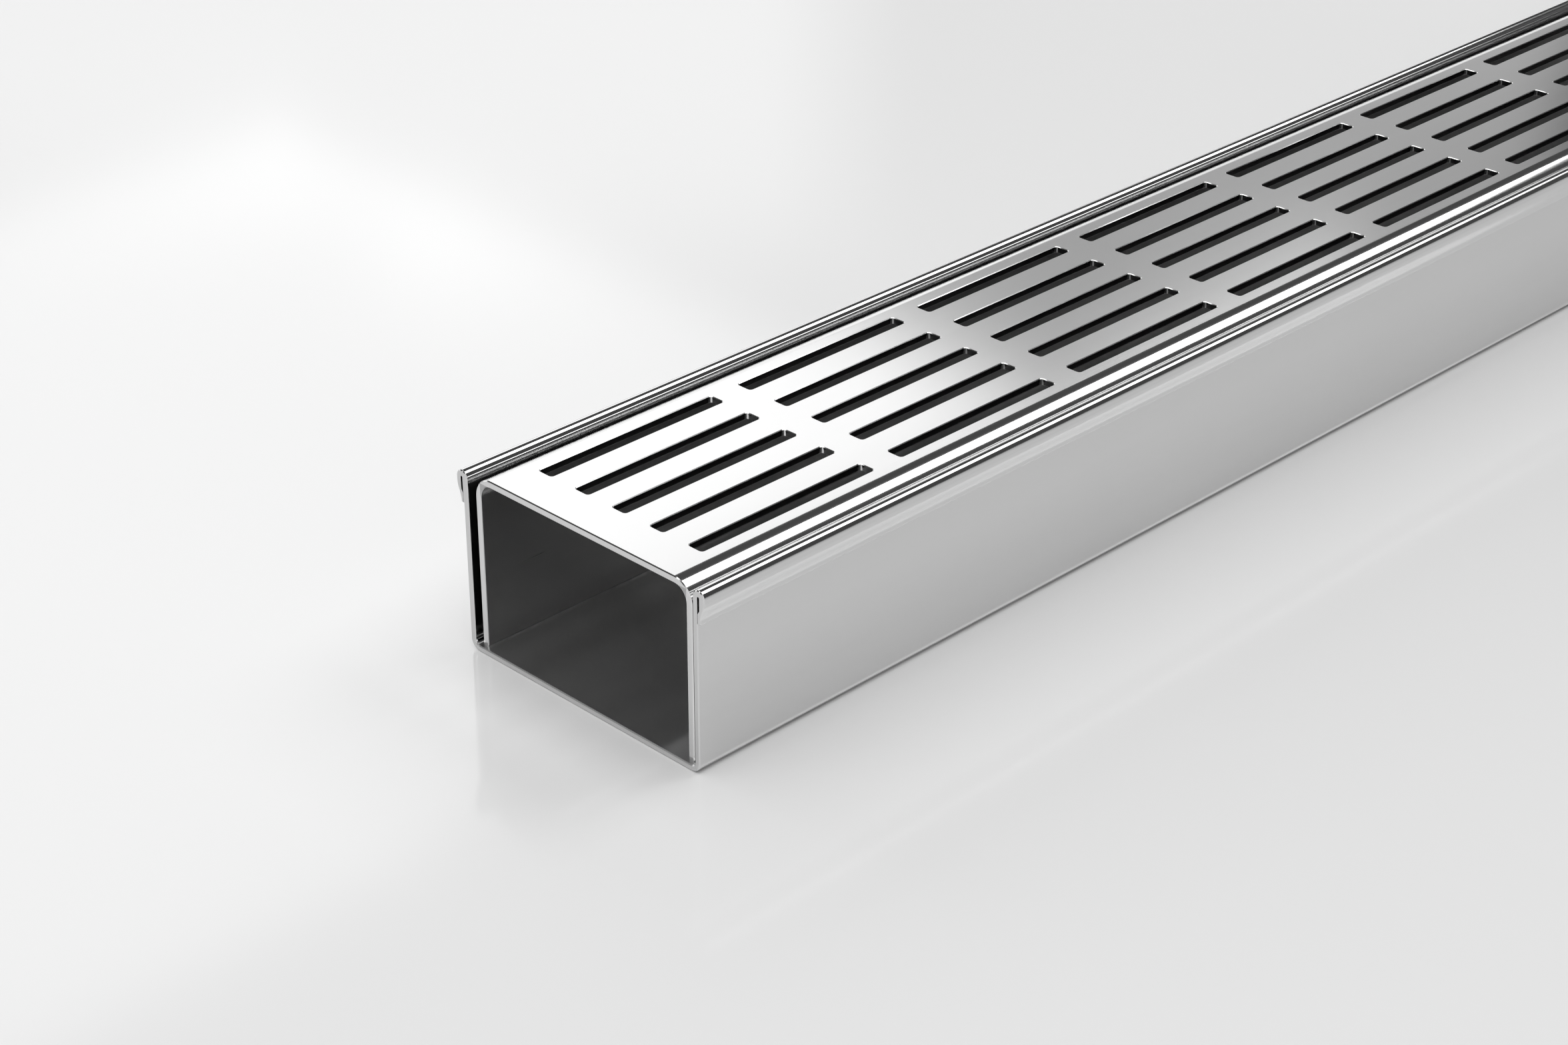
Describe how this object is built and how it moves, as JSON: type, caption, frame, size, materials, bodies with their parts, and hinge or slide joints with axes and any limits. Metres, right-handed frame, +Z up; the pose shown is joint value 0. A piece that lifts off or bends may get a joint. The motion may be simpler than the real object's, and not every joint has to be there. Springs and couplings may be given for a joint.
{
  "type": "linear shower drain",
  "caption": "Linear shower drain of folded stainless sheet: an open channel with folded-over upper edges, and a slotted grate that stands in it and lifts out.",
  "frame": {"origin": "middle of the channel's flat underside, on the floor", "axes": "+X along the drain, +Y across it, +Z up towards the slotted grate"},
  "size_m": [0.9, 0.0676, 0.0386],
  "materials": {
    "channel_steel": "satin",
    "grate_steel": "satin"
  },
  "bodies": {
    "root": {"channel": "channel_steel", "grate": "grate_steel"}
  },
  "joints": []
}
